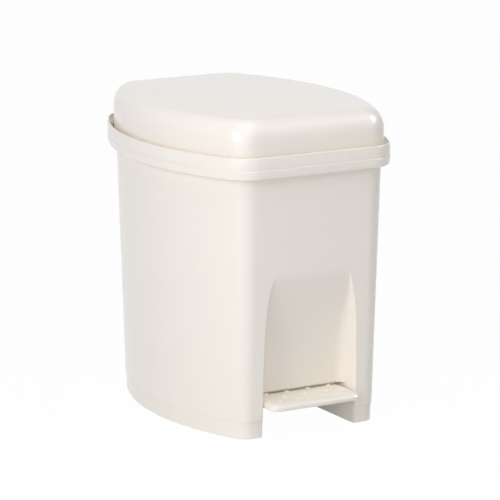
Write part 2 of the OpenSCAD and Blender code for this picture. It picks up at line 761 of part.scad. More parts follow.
// Strap that lies just inside the bucket's mouth and swings up on two pins
module bucket_handle() color(white) {
    low = handle_z - strap_h / 2;
    gap = bucket_t + pad_t + seat_gap;
    side_in = bucket_side_in(low) + gap;
    front_in = bucket_front + bucket_rake * (bucket_top - low) / (bucket_top - floor_z) + gap;
    bend_r = bucket_r - 1;
    reach = side_half(side_in, handle_y);
    difference() {
        translate([0, 0, low]) linear_extrude(height = strap_h) difference() {
            polygon(boxed(side_in, front_in, bucket_back, bend_r));
            polygon(boxed(side_in + strap_w, front_in + strap_w, bucket_back + over, bend_r - 3));
        }
        slab([-rim_front_w, handle_y, 0], [rim_front_w, back_y, brow_z]);
    }
    both_sides() {
        cross_rod(eye_r, reach - strap_w, reach, [handle_y, handle_z]);
        cross_rod(handle_pin_r, reach - over, skin_x, [handle_y, handle_z]);
    }
}

casing();
rim_collar();
lid();
hinge_pins();
crank_pin();
rod_head();
push_rod();
rod_foot();
rod_guides();
tail_pin();
pedal();
pedal_axle();
axle_caps();
inner_bucket();
bucket_handle();
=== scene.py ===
"""Looks of a pedal nappy bin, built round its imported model.

Smooth surfaces replace the faceted solids of the moulded pieces; the steel and the small
white parts keep their solids and get finished materials. Lengths are in millimetres until
a mesh is made. +Z is up, the pedal is at the front (-Y).
"""
import math

import bpy
import numpy as np
from mathutils import Matrix

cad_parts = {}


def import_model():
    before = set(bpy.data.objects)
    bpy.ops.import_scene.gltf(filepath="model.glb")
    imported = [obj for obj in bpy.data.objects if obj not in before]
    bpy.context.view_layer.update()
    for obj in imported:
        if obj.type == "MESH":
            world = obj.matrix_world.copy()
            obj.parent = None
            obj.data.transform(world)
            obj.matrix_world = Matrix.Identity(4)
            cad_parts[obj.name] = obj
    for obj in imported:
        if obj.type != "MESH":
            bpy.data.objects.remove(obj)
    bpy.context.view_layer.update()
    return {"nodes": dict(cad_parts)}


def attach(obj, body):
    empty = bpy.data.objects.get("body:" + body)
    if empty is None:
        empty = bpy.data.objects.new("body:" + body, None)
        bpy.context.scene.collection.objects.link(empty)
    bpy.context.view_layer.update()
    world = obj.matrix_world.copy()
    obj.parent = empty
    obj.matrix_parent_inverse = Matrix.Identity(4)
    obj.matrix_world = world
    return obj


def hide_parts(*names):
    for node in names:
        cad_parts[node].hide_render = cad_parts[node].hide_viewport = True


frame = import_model()

MM = 0.001
SHARP_ANGLE = math.radians(34)          # edges that turn by more than this aren't smoothed

# ---- sizes ----

RIM_FRONT_W = 163.0     # width of the rim between its front corners
RIM_BACK_W = 138.0
SIDE_BOW = 43.7         # how far each side bows out beyond its chord
FRONT_Y, BACK_Y = -148.75, 150.25
CORNER_R = 32.0

BODY_H = 255.0          # top of the wall, where the mouth steps out
WALL = 2.2
OVERHANG = 9.2
TAPER = 7.6
PLINTH_H = 16.5
PLINTH_STEP = 0.8
LIP_SET = 0.4           # set-back of the collar's face from the top of the mouth's strip
STRIP_LEAN = 1.0        # how far the mouth's strip leans in towards its foot
DECK_Z, DECK_T = 43.0, 2.4
TUNNEL_X = 51.0
TUNNEL_BACK = -0.75

RECESS_W = 106.0
RECESS_TOP_W = 85.0
RECESS_TOP = 156.0
RECESS_DEPTH = 25.0
SLOT_Z = 37.4           # lower edge of the recess's back wall
ROD_SLOT = 10.0         # half-width of the deck's slot for the push rod

SEAM_Z = 264.2          # joint between the casing's mouth and the collar
LEDGE_Z = 266.2
LIP_Z = 276.5
LIP_T = 2.2
LEDGE_W = 13.0
SLOPE_Z = 274.5         # where the lip's inner face turns into the slope beside the lid
SLOPE_IN, SLOPE_FOOT = 6.2, 270.0
SHELF_Y = 114.75

LID_INSET = 6.6
LID_T = 2.2
SKIRT_Z = 266.5
SHOULDER_Z = 290.0
BROW_Z = 311.0
CROWN = 2.0
SHOULDER_W = 17.0
NOTCH_IN, NOTCH_OUT = 32.2, 39.3        # the lid's notches for the collar's ears
RELIEF_X, RELIEF_Z = 6.9, 270.4         # the lid's relief for the push rod's head

HINGE_Y, HINGE_Z = 144.75, 283.0
BARREL_R = 5.4
EAR_X, EAR_W = 36.0, 6.0
KNUCKLE_W = 12.0
CRANK_Y, CRANK_Z = 127.653, 269.155
FORK_GAP, FORK_T = 6.9, 3.0
CRANK_R = 5.0           # eye round the crank pin

AXLE_Y, AXLE_Z = -34.75, 22.0
HUB_R = 5.9
TAIL_Y, TAIL_Z = 124.601, 8.155
TAIL_R = 4.6            # eye round the tail pin
ROD_Y = 125.201

TREAD_W = 99.0
TREAD_FRONT, TREAD_BACK = -150.25, -102.95
TREAD_Z = 35.5
TREAD_T = 2.2
TREAD_R = 8.0           # of the tread's corners, seen from above
ROLL_W, ROLL_H = 7.5, 4.2               # the roll at the tread's edge
UPSTAND_X, UPSTAND_T, UPSTAND_H = 46.0, 1.5, 5.0    # rib along the tread's back edge
LIP_DROP = 7.0
BUMP_PITCH_X, BUMP_PITCH_Y = 23.5, 14.4
BUMP_ROWS = (4, 3, 4)   # bumps in each row, from the front
LEVER_W, LEVER_H, LEVER_T = 58.0, 9.5, 2.4

BUCKET_T = 2.0
BUCKET_IN = 14.5
BUCKET_FRONT, BUCKET_BACK = -134.25, 112.25
BUCKET_RAKE = 33.0
BUCKET_LEAN = 4.0       # of the back wall, over its height
BUCKET_DRAFT = 6.0
BUCKET_R = 20.0
BUCKET_Z0, BUCKET_TOP = 45.7, 266.5
BUCKET_H = BUCKET_TOP - BUCKET_Z0
FLANGE_W, FLANGE_T = 4.2, 2.0
HANDLE_Y, HANDLE_Z = -11.0, 258.5
PAD_T = 0.6             # round pad on the bucket's wall behind each eye of the handle
EYE_GAP = 0.3
STRAP_H, STRAP_W = 4.4, 5.0

MID_Y = (FRONT_Y + BACK_Y) / 2
LEAN = math.atan2((RIM_FRONT_W - RIM_BACK_W) / 2, BACK_Y - FRONT_Y)
CHORD = (BACK_Y - FRONT_Y) / math.cos(LEAN)
SIDE_R = (CHORD ** 2 / 4 + SIDE_BOW ** 2) / (2 * SIDE_BOW)
SIDE_X = (RIM_FRONT_W + RIM_BACK_W) / 4 - (SIDE_R - SIDE_BOW) * math.cos(LEAN)
SIDE_Y = MID_Y - (SIDE_R - SIDE_BOW) * math.sin(LEAN)

# ---- outlines: arrays of points, one row for each height ----

CORNER_T = np.linspace(0, 1, 15)
SIDE_T = np.linspace(0, 1, 61)
# fixed columns of the back, in from the corner: some are the edges of notches and slots
BACK_X = np.array((44.0, NOTCH_OUT, EAR_X, NOTCH_IN, 26.0, 20.0, 14.0, ROD_SLOT, RELIEF_X, 3.5))
LEAST_R = 0.6           # no outline's corner is sharper


def side_half(inset, y):
    """Half-width of the bowed side: its arc, drawn in by inset, cut at the depth y."""
    return SIDE_X + np.sqrt((SIDE_R - inset) ** 2 - (y - SIDE_Y) ** 2)


def between(a, b, t):
    """Rows of values from a to b at the shares t."""
    return a[:, None] + (b - a)[:, None] * np.asarray(t)[None, :]


def arc(x, y, radius, a, b, t):
    """Points on each row's circle (x, y, radius), from the angle a to b at the shares t."""
    angle = between(a, b, t)
    return np.stack([x[:, None] + radius[:, None] * np.cos(angle),
                     y[:, None] + radius[:, None] * np.sin(angle)], -1)


def half_outline(inset, y0, y1, radius, front):
    """Right half of an outline: the given front columns, the front corner's arc, the bowed
    side's arc, the back corner's arc, then flat back columns that end at the fixed ones."""
    inset, y0, y1, radius = np.broadcast_arrays(inset, y0, y1, radius)
    fx, fy = side_half(inset + radius, y0 + radius), y0 + radius
    bx, by = side_half(inset + radius, y1 - radius), y1 - radius
    af = np.arctan2(fy - SIDE_Y, fx - SIDE_X)
    ab = np.arctan2(by - SIDE_Y, bx - SIDE_X)
    down, up = np.full_like(af, -math.pi / 2), np.full_like(af, math.pi / 2)
    centre_x, centre_y = np.full_like(af, SIDE_X), np.full_like(af, SIDE_Y)
    fixed = np.broadcast_to(BACK_X, (len(af), len(BACK_X)))
    flat_x = np.concatenate([between(bx, fixed[:, 0], (0.25, 0.5, 0.75)), fixed], 1)
    flat = np.stack([flat_x, np.broadcast_to(y1[:, None], flat_x.shape)], -1)
    return np.concatenate([
        front(fx),
        arc(fx, fy, radius, down, af, CORNER_T),
        arc(centre_x, centre_y, SIDE_R - inset, af, ab, SIDE_T[1:-1]),
        arc(bx, by, radius, ab, up, CORNER_T),
        flat], 1)


def whole_outline(half, y1):
    """A half outline, the middle of the back at y1, and the half mirrored."""
    back = np.stack([np.zeros_like(y1), y1], -1)[:, None, :]
    return np.concatenate([half, back, half[:, :0:-1] * (-1, 1)], 1)


def lifted(outline, z):
    """Each row of an outline at its own height z."""
    z = np.broadcast_to(np.asarray(z, float)[:, None, None], outline.shape[:2] + (1,))
    return np.concatenate([outline, z], -1)


def boxed(*values):
    """Rows of a bow-sided outline with a flat front at y0 and a flat back at y1, from the
    inset, y0, y1, corner radius and z of each row."""
    rows = np.broadcast_arrays(*(np.atleast_1d(np.asarray(v, float)) for v in values))
    inset, y0, y1, radius, z = rows
    share = np.linspace(0, 1, 12, endpoint=False)

    def front(x):
        flat = between(np.zeros_like(x), x, share)
        return np.stack([flat, np.broadcast_to(y0[:, None], flat.shape)], -1)

    return lifted(whole_outline(half_outline(inset, y0, y1, radius, front), y1), z)


def rim(inset, z):
    """Rows of the rim's outline, drawn in by inset all round."""
    inset = np.asarray(inset, float)
    radius = np.maximum(LEAST_R, CORNER_R - inset)
    return boxed(inset, FRONT_Y + inset, BACK_Y - inset, radius, z)


# ---- profiles: corner points joined by fillets ----

def filleted(corners, steps=5):
    """A profile through (a, b, radius) corners, each rounded by an arc of that radius."""
    pts = np.array([c[:2] for c in corners], float)
    out = [pts[:1]]
    for before, at, after, (_, _, r) in zip(pts[:-2], pts[1:-1], pts[2:], corners[1:-1]):
        if r <= 0:
            out.append(at[None])
            continue
        u, v = before - at, after - at
        lu, lv = np.linalg.norm(u), np.linalg.norm(v)
        u, v = u / lu, v / lv
        half = math.acos(max(-1.0, min(1.0, float(u @ v)))) / 2
        cut = min(r / math.tan(half), 0.49 * lu, 0.49 * lv)
        radius = cut * math.tan(half)
        centre = at + (u + v) / np.linalg.norm(u + v) * (radius / math.sin(half))
        a0 = math.atan2(*(at + u * cut - centre)[::-1])
        turn = math.atan2(*(at + v * cut - centre)[::-1]) - a0
        turn = (turn + math.pi) % (2 * math.pi) - math.pi
        angle = a0 + turn * np.linspace(0, 1, steps)
        out.append(centre + radius * np.stack([np.cos(angle), np.sin(angle)], -1))
    out.append(pts[-1:])
    return np.concatenate(out)


# ---- meshes: a part is its points and its faces ----

def part(points, *faces):
    """Points in millimetres, and faces as rows of indices."""
    return np.asarray(points, float), [list(map(int, f)) for block in faces for f in block]


def wall(outer, inner, keep=None, peaks=None):
    """Closed wall between two grids of the same size, rows going up and columns going round.
    Cells where keep is false are left open, and every open edge is closed by a strip between
    the grids. With peaks, both tops are closed by a fan to a point instead."""
    rows, cols = outer.shape[:2]
    keep = np.ones((rows - 1, cols), bool) if keep is None else keep
    n = rows * cols
    i, j = np.nonzero(keep)
    k = (j + 1) % cols
    a, b, c, d = i * cols + j, i * cols + k, (i + 1) * cols + k, (i + 1) * cols + j
    below = np.vstack([np.zeros((1, cols), bool), keep[:-1]])[i, j]
    above = np.vstack([keep[1:], np.full((1, cols), peaks is not None)])[i, j]
    left, right = np.roll(keep, 1, 1)[i, j], np.roll(keep, -1, 1)[i, j]

    def strip(p, q, closed):
        return np.stack([q, p, p + n, q + n], -1)[~closed]

    blocks = [np.stack([a, b, c, d], -1), np.stack([a, d, c, b], -1) + n,
              strip(a, b, below), strip(c, d, above), strip(d, a, left), strip(b, c, right)]
    points = np.concatenate([outer.reshape(-1, 3), inner.reshape(-1, 3)])
    if peaks is not None:
        last = np.arange(n - cols, n)
        after = np.roll(last, -1)
        blocks += [np.stack([last, after, np.full(cols, 2 * n)], -1),
                   np.stack([after + n, last + n, np.full(cols, 2 * n + 1)], -1)]
        points = np.concatenate([points, np.asarray(peaks, float)])
    return part(points, *blocks)


def ring(grid):
    """Closed band: rows follow a closed profile, columns go round."""
    rows, cols = grid.shape[:2]
    i, j = np.meshgrid(np.arange(rows), np.arange(cols), indexing="ij")
    i2, j2 = (i + 1) % rows, (j + 1) % cols
    quads = np.stack([i * cols + j, i * cols + j2, i2 * cols + j2, i2 * cols + j], -1)
    return part(grid.reshape(-1, 3), quads.reshape(-1, 4))


def capped(grid):
    """Solid between the first and the last row of a grid, with flat ends."""
    rows, cols = grid.shape[:2]
    i, j = np.meshgrid(np.arange(rows - 1), np.arange(cols), indexing="ij")
    j2 = (j + 1) % cols
    quads = np.stack([i * cols + j, i * cols + j2, (i + 1) * cols + j2, (i + 1) * cols + j], -1)
    ends = [np.arange(cols)[::-1], np.arange(cols) + (rows - 1) * cols]
    return part(grid.reshape(-1, 3), quads.reshape(-1, 4), ends)


def drawn_in(loop, d):
    """A counter-clockwise loop moved inwards by d along its corners' normals."""
    edge = np.roll(loop, -1, 0) - loop
    edge /= np.linalg.norm(edge, axis=1)[:, None]
    before = np.roll(edge, 1, 0)
    normal = np.stack([-(edge + before)[:, 1], (edge + before)[:, 0]], -1)
    normal /= np.linalg.norm(normal, axis=1)[:, None]
    lean = np.clip((normal * np.stack([-edge[:, 1], edge[:, 0]], -1)).sum(1), 0.5, 1)
    return loop + normal * (d / lean)[:, None]


def plate(loop, low, high, soft=0.3, axis="z"):
    """Flat plate: a counter-clockwise loop carried from low to high, its edges eased by soft.
    Along x the loop is in (y, z)."""
    loop = np.asarray(loop, float)
    if soft:
        rows = [(low, soft), (low + soft, 0.0), (high - soft, 0.0), (high, soft)]
    else:
        rows = [(low, 0), (high, 0)]
    flat = [(drawn_in(loop, d) if d else loop, at) for at, d in rows]
    if axis == "z":
        grid = np.array([np.column_stack([f, np.full(len(f), at)]) for f, at in flat])
    else:
        grid = np.array([np.column_stack([np.full(len(f), at), f]) for f, at in flat])
    return capped(grid)


def block(low, high, soft=0.25):
    """Upright block between two corners, its edges eased."""
    (x0, y0, z0), (x1, y1, z1) = low, high
    return plate([(x0, y0), (x1, y0), (x1, y1), (x0, y1)], z0, z1, soft)


def turned(profile, y, z):
    """Profile of (x, radius) turned round the axis along X at (y, z)."""
    angle = np.linspace(0, 2 * math.pi, 48, endpoint=False)
    x, r = np.asarray(profile, float).T
    grid = np.stack([np.broadcast_to(x[:, None], (len(x), len(angle))),
                     y + r[:, None] * np.cos(angle), z + r[:, None] * np.sin(angle)], -1)
    return capped(grid)


def rod(x0, x1, radius, y, z, soft=0.4):
    """Round bar along X with eased ends."""
    profile = [(x0, radius - soft), (x0 + soft, radius), (x1 - soft, radius), (x1, radius - soft)]
    return turned(profile, y, z)


def mirrored(p):
    """The same part on the other side of X = 0, its faces turned the right way out."""
    points, faces = p
    return points * (-1, 1, 1), [f[::-1] for f in faces]


def both(p):
    """A part and its mirror image."""
    return [p, mirrored(p)]


def piece(name, parts, material, body, slot, *nodes):
    """One object made of closed parts, in place, riding on its body for the nodes it replaces."""
    points, faces, start = [], [], 0
    for p, f in parts:
        points.append(p)
        faces += [[i + start for i in face] for face in f]
        start += len(p)
    mesh = bpy.data.meshes.new(name)
    mesh.from_pydata((np.concatenate(points) * MM).tolist(), [], faces)
    mesh.validate()
    mesh.shade_smooth()
    mesh.set_sharp_from_angle(angle=SHARP_ANGLE)
    mesh.materials.append(material)
    thing = bpy.data.objects.new(name, mesh)
    bpy.context.scene.collection.objects.link(thing)
    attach(thing, body)
    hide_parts(*nodes)
    return thing


# ---- materials ----

def surface_group(name, **floats):
    """A node group that takes a vector, a colour and the given floats, and puts out a colour,
    a roughness and a height: the tree and its input and output sockets."""
    tree = bpy.data.node_groups.new(name, "ShaderNodeTree")
    add = tree.interface.new_socket
    add(name="Vector", in_out="INPUT", socket_type="NodeSocketVector")
    add(name="Colour", in_out="INPUT", socket_type="NodeSocketColor")
    for label, value in floats.items():
        s = add(name=label, in_out="INPUT", socket_type="NodeSocketFloat")
        s.default_value = value
    add(name="Colour", in_out="OUTPUT", socket_type="NodeSocketColor")
    for label in ("Rough", "Height"):
        add(name=label, in_out="OUTPUT", socket_type="NodeSocketFloat")
    given, result = tree.nodes.new("NodeGroupInput"), tree.nodes.new("NodeGroupOutput")
    return tree, given.outputs, result.inputs


def noise(tree, vector, scale, detail=3.0, rough=0.5):
    """Noise, from 0 to 1, at so many cycles a metre."""
    n = tree.nodes.new("ShaderNodeTexNoise")
    n.inputs["Scale"].default_value = scale
    n.inputs["Detail"].default_value = detail
    n.inputs["Roughness"].default_value = rough
    tree.links.new(vector, n.inputs["Vector"])
    return n.outputs["Fac"]


def ranged(tree, value, low, high, to_low, to_high):
    """Value carried from one range to another, held at its ends."""
    n = tree.nodes.new("ShaderNodeMapRange")
    n.inputs["From Min"].default_value = low
    n.inputs["From Max"].default_value = high
    n.inputs["To Min"].default_value = to_low
    n.inputs["To Max"].default_value = to_high
    tree.links.new(value, n.inputs["Value"])
    return n.outputs["Result"]


def maths(tree, kind, a, b):
    """Sum, product or larger of two sockets or numbers."""
    n = tree.nodes.new("ShaderNodeMath")
    n.operation = kind
    for value, s in zip((a, b), n.inputs):
        if isinstance(value, (int, float)):
            s.default_value = value
        else:
            tree.links.new(value, s)
    return n.outputs[0]


def tinted(tree, colour, gain):
    """A colour times a grey gain."""
    grey = tree.nodes.new("ShaderNodeCombineColor")
    for s in grey.inputs[:3]:
        tree.links.new(gain, s)
    mix = tree.nodes.new("ShaderNodeMix")
    mix.data_type = "RGBA"
    mix.blend_type = "MULTIPLY"
    mix.inputs["Factor"].default_value = 1.0
    tree.links.new(colour, mix.inputs[6])
    tree.links.new(grey.outputs[0], mix.inputs[7])
    return mix.outputs[2]


def moulding_group():
    """Moulded plastic: fine orange peel, slow waves left by the mould, faint rub marks and a
    slight drift of colour. Its height is in millimetres."""
    tree, given, result = surface_group("moulded_surface", Drift=0.02, Rough=0.3, Rub=0.08,
                                        Peel=0.01, Wave=0.05)
    link = tree.links.new
    vector = given["Vector"]
    slow = noise(tree, vector, 14.0, 2.0)
    cloud = noise(tree, vector, 60.0, 4.0, 0.6)
    peel = noise(tree, vector, 900.0, 2.0, 0.4)
    speck = noise(tree, vector, 2600.0, 1.0)
    stretch = tree.nodes.new("ShaderNodeMapping")
    stretch.inputs["Rotation"].default_value = (0.3, 0.2, 0.5)
    stretch.inputs["Scale"].default_value = (60.0, 700.0, 260.0)
    link(vector, stretch.inputs["Vector"])
    streak = noise(tree, stretch.outputs["Vector"], 1.0, 3.0, 0.6)
    rubs = maths(tree, "MULTIPLY", ranged(tree, streak, 0.6, 0.75, 0, 1),
                 ranged(tree, cloud, 0.5, 0.62, 0, 1))

    shade = maths(tree, "ADD", ranged(tree, slow, 0.3, 0.7, -1, 1),
                  ranged(tree, speck, 0.3, 0.7, -0.35, 0.35))
    gain = maths(tree, "ADD", maths(tree, "MULTIPLY", shade, given["Drift"]), 1.0)
    link(tinted(tree, given["Colour"], gain), result["Colour"])

    haze = ranged(tree, cloud, 0.35, 0.7, -0.15, 0.2)
    wear = maths(tree, "MULTIPLY", maths(tree, "ADD", haze, rubs), given["Rub"])
    link(maths(tree, "ADD", given["Rough"], wear), result["Rough"])

    link(maths(tree, "ADD", maths(tree, "MULTIPLY", peel, given["Peel"]),
               maths(tree, "MULTIPLY", slow, given["Wave"])), result["Height"])
    return tree


def metal_group():
    """Plated steel wire: cloudy plating in its shade and its gloss, and fine grain."""
    tree, given, result = surface_group("plated_wire", Rough=0.3)
    link = tree.links.new
    cloud = noise(tree, given["Vector"], 220.0, 4.0, 0.6)
    fine = noise(tree, given["Vector"], 3000.0, 2.0)
    shade = ranged(tree, cloud, 0.3, 0.7, 0.86, 1.0)
    link(tinted(tree, given["Colour"], shade), result["Colour"])
    link(maths(tree, "ADD", given["Rough"], ranged(tree, cloud, 0.3, 0.7, -0.05, 0.1)),
         result["Rough"])
    link(maths(tree, "MULTIPLY", fine, 0.01), result["Height"])
    return tree


def finish(name, tree, colour, values, constants):
    """A material that feeds a group's colour, roughness and height to one Principled shader."""
    m = bpy.data.materials.new(name)
    m.use_nodes = True
    nodes, link = m.node_tree.nodes, m.node_tree.links.new
    shader = nodes["Principled BSDF"]
    for label, value in constants.items():
        shader.inputs[label].default_value = value
    g = nodes.new("ShaderNodeGroup")
    g.node_tree = tree
    g.inputs["Colour"].default_value = (*colour, 1)
    for label, value in values.items():
        g.inputs[label].default_value = value
    where = nodes.new("ShaderNodeTexCoord")
    link(where.outputs["Object"], g.inputs["Vector"])
    relief = nodes.new("ShaderNodeBump")
    relief.inputs["Strength"].default_value = 1.0
    relief.inputs["Distance"].default_value = MM
    link(g.outputs["Height"], relief.inputs["Height"])
    link(g.outputs["Colour"], shader.inputs["Base Color"])
    link(g.outputs["Rough"], shader.inputs["Roughness"])
    link(relief.outputs["Normal"], shader.inputs["Normal"])
    return m


moulded, plated = moulding_group(), metal_group()
IVORY = (0.945, 0.88, 0.775)
BUCKET_WHITE = (0.80, 0.775, 0.71)
ACETAL = (0.76, 0.75, 0.70)
ZINC = (0.58, 0.59, 0.61)

ivory_gloss = finish("ivory_gloss", moulded, IVORY,
                     {"Drift": 0.006, "Rough": 0.34, "Rub": 0.012, "Peel": 0.003, "Wave": 0.02},
                     {"IOR": 1.49, "Coat Weight": 0.6, "Coat Roughness": 0.08})
bucket_satin = finish("bucket_satin", moulded, BUCKET_WHITE,
                      {"Drift": 0.02, "Rough": 0.42, "Rub": 0.2, "Peel": 0.02, "Wave": 0.05},
                      {"IOR": 1.49})
acetal = finish("acetal", moulded, ACETAL,
                {"Drift": 0.03, "Rough": 0.45, "Rub": 0.2, "Peel": 0.02, "Wave": 0.0},
                {"IOR": 1.48})
zinc_wire = finish("zinc_wire", plated, ZINC, {"Rough": 0.3}, {"Metallic": 1.0})

FINISHED_SOLIDS = (
    (acetal, ("rod_head", "rod_foot", "rod_guides")),
    (zinc_wire, ("hinge_pins", "crank_pin", "push_rod", "tail_pin", "pedal_axle", "axle_caps")),
)
for material, names in FINISHED_SOLIDS:
    for name in names:
        slots = frame["nodes"][name].data.materials
        slots.clear()
        slots.append(material)

# ---- casing ----

RECESS_TAPER = 1.0
LEAST_SCALE = 0.12      # of the recess's cross-section, where it has faded out
FADE_INNER, FADE_OUTER = 2.2, 1.35      # powers that shape how its depth fades out
NARROWING = 5.5         # power that keeps its narrowing to the top
EDGE_R = 1.6            # rounding of the recess's jambs
JAMB_E = 1.9            # distance in from the edge at the deep end of a jamb
FILLET_R = 9.0          # fillet between a jamb and the recess's back wall
RIB_Y = (AXLE_Y - 28, TUNNEL_BACK, TUNNEL_BACK + 66)
RIB_H = 12.0


def wall_in(z):
    """How far the wall's face is drawn in from the rim at the height z."""
    return OVERHANG + TAPER * (1 - z / BODY_H)


def recess_deep(z):
    """Depth of the foot recess: full at the pedal, fading out smoothly above by a power of
    one less a power of the height."""
    t = np.clip((z - DECK_Z) / (RECESS_TOP - DECK_Z), 0, 1)
    return RECESS_DEPTH * (1 - t ** FADE_INNER) ** FADE_OUTER


def recess_half(z):
    """Half-width of the foot recess: a slight even taper, and a power of the height that
    narrows it fast near its top."""
    t = np.clip(z / RECESS_TOP, 0, 1)
    return RECESS_W / 2 - (RECESS_W - RECESS_TOP_W) / 2 * t ** NARROWING - RECESS_TAPER * t


def recess_section():
    """One side of the recess at full depth, from the back wall to the front: the fillet's
    quarter circle, the straight jamb and the rounded edge, as (distance in, share of depth)."""
    a = np.linspace(0, math.pi / 2, 13)
    fillet = np.stack([JAMB_E + FILLET_R * (1 - np.sin(a)),
                       RECESS_DEPTH - FILLET_R * (1 - np.cos(a))], -1)
    b = np.linspace(0, math.pi / 2, 8)
    edge = np.stack([EDGE_R * np.cos(b), EDGE_R * (1 - np.sin(b))], -1)
    jamb = fillet[-1] + (edge[0] - fillet[-1]) * np.linspace(0, 1, 7)[1:-1, None]
    section = np.concatenate([fillet, jamb, edge])
    return section[:, 0], section[:, 1] / RECESS_DEPTH


SECTION_E, SECTION_D = recess_section()
BACK_WALL_COLS = 12
OPENING_COLS = BACK_WALL_COLS + 12      # columns up to the deep end of the jamb


def casing_rows(inset, z, widen):
    """Rows of the casing's outline: the rim's outline drawn in by inset, with the recess let
    in, its half-width grown by widen."""
    inset, z = np.broadcast_arrays(np.asarray(inset, float), np.asarray(z, float))
    y0, y1 = FRONT_Y + inset, BACK_Y - inset
    half, deep = recess_half(z) + widen, recess_deep(z)
    scale = np.maximum(LEAST_SCALE, deep / RECESS_DEPTH)

    def front(x):
        inner = half - SECTION_E[0] * scale
        back = between(np.zeros_like(x), inner, np.linspace(0, 1, BACK_WALL_COLS, endpoint=False))
        back = np.stack([back, np.broadcast_to((y0 + deep)[:, None], back.shape)], -1)
        side = np.stack([half[:, None] - SECTION_E * scale[:, None],
                         y0[:, None] + deep[:, None] * SECTION_D], -1)
        out = between(half, x, (0.15, 0.4, 0.7))
        out = np.stack([out, np.broadcast_to(y0[:, None], out.shape)], -1)
        return np.concatenate([back, side, out], 1)

    return lifted(whole_outline(half_outline(inset, y0, y1, CORNER_R - inset, front), y1), z)


def casing_shell():
    """Two grids: the outer one follows the plinth, the wall, the step under the mouth and the
    mouth's strip; the inner one is the same with the wall's thickness taken off."""
    foot = filleted([(0.7, 0, 0), (0, 0.7, 0), (0, PLINTH_H - 0.3, 0.25),
                     (-PLINTH_STEP, PLINTH_H + 0.25, 0.4), (-PLINTH_STEP, PLINTH_H + 1.6, 0)], 4)
    z = np.concatenate([foot[:, 1], np.linspace(PLINTH_H + 3.5, SLOT_Z, 8),
                        SLOT_Z + (RECESS_TOP - SLOT_Z) * np.linspace(0, 1, 41)[1:],
                        np.linspace(RECESS_TOP, BODY_H - 5, 22)[1:]])
    step = np.concatenate([foot[:, 0] + PLINTH_STEP, np.zeros(len(z) - len(foot))])
    mouth = filleted([(OVERHANG, BODY_H - 4, 0), (OVERHANG, BODY_H, 2.2),
                      (STRIP_LEAN, BODY_H, 2.2), (0, SEAM_Z, 0.8), (1.3, SEAM_Z, 0)], 7)
    outer_in = np.concatenate([wall_in(z) + step, mouth[:, 0]])
    outer_z = np.concatenate([z, mouth[:, 1]])
    # behind the strip the inner rows are upright and evenly spread
    in_strip = mouth[:, 1] > BODY_H + 2
    mouth_in = np.where(in_strip, LIP_SET, mouth[:, 0])
    inner_in = np.concatenate([wall_in(z) + step, mouth_in]) + WALL
    mouth_z = mouth[:, 1] + np.where(mouth[:, 1] > BODY_H - 3, WALL, 0)
    mouth_z[in_strip] = np.linspace(BODY_H + 2.1 + WALL, SEAM_Z, in_strip.sum())
    inner_z = np.concatenate([z, mouth_z])
    outer = casing_rows(outer_in, outer_z, 0.0)
    inner = casing_rows(inner_in, inner_z, WALL)
    cols = outer.shape[1]
    columns = np.arange(cols)
    in_opening = (columns < OPENING_COLS) | (columns >= cols - OPENING_COLS)
    low = (outer_z[:-1] + outer_z[1:]) / 2 < SLOT_Z
    return wall(outer, inner, ~(low[:, None] & in_opening[None, :]))


def casing_inside():
    """Deck under the bucket, its ribs, the tunnel's walls and the axle's bosses."""
    middle = WALL / 2
    deck = casing_rows([wall_in(DECK_Z) + middle], [DECK_Z], middle)[0, :, :2]
    back = deck[:, 1].max()
    slot_y = ROD_Y - ROD_SLOT
    slot = np.array([(ROD_SLOT, back), (ROD_SLOT, slot_y), (-ROD_SLOT, slot_y), (-ROD_SLOT, back)])
    flat = (np.abs(deck[:, 0]) < ROD_SLOT + 0.01) & (deck[:, 1] > back - 0.01)
    first, last = np.nonzero(flat)[0][[0, -1]]
    loop = np.concatenate([deck[:first], slot, deck[last + 1:]])
    parts = [plate(loop, DECK_Z, DECK_Z + DECK_T, 0)]
    low, high = DECK_Z - RIB_H, DECK_Z + 0.5
    for y in RIB_Y:
        reach = float(side_half(wall_in(low) + middle, y))
        parts += both(block((TUNNEL_X + 0.2, y - DECK_T, low), (reach, y, high), 0))
    # each tunnel wall starts inside the recess's jamb
    front = FRONT_Y + wall_in(0) + PLINTH_STEP + (RECESS_DEPTH - FILLET_R) - 3.5
    outside = TUNNEL_X + WALL
    parts += both(block((TUNNEL_X + 0.05, front, 0.0), (outside, TUNNEL_BACK, high), 0.3))
    parts += both(rod(TUNNEL_X + 0.3, outside + 4, HUB_R, AXLE_Y, AXLE_Z, 0.5))
    return parts


casing_parts = [casing_shell()] + casing_inside()
piece("casing_body", casing_parts, ivory_gloss, "casing", "ivory_shell", "casing")

# ---- collar ----


def ear_loop(bottom, radius):
    """Side view of a hinge ear, counter-clockwise in (y, z): a half circle on a straight foot."""
    a = np.linspace(0, math.pi, 25)
    top = np.stack([HINGE_Y + radius * np.cos(a), HINGE_Z + radius * np.sin(a)], -1)
    return np.concatenate([top, [(HINGE_Y - radius, bottom), (HINGE_Y + radius, bottom)]])


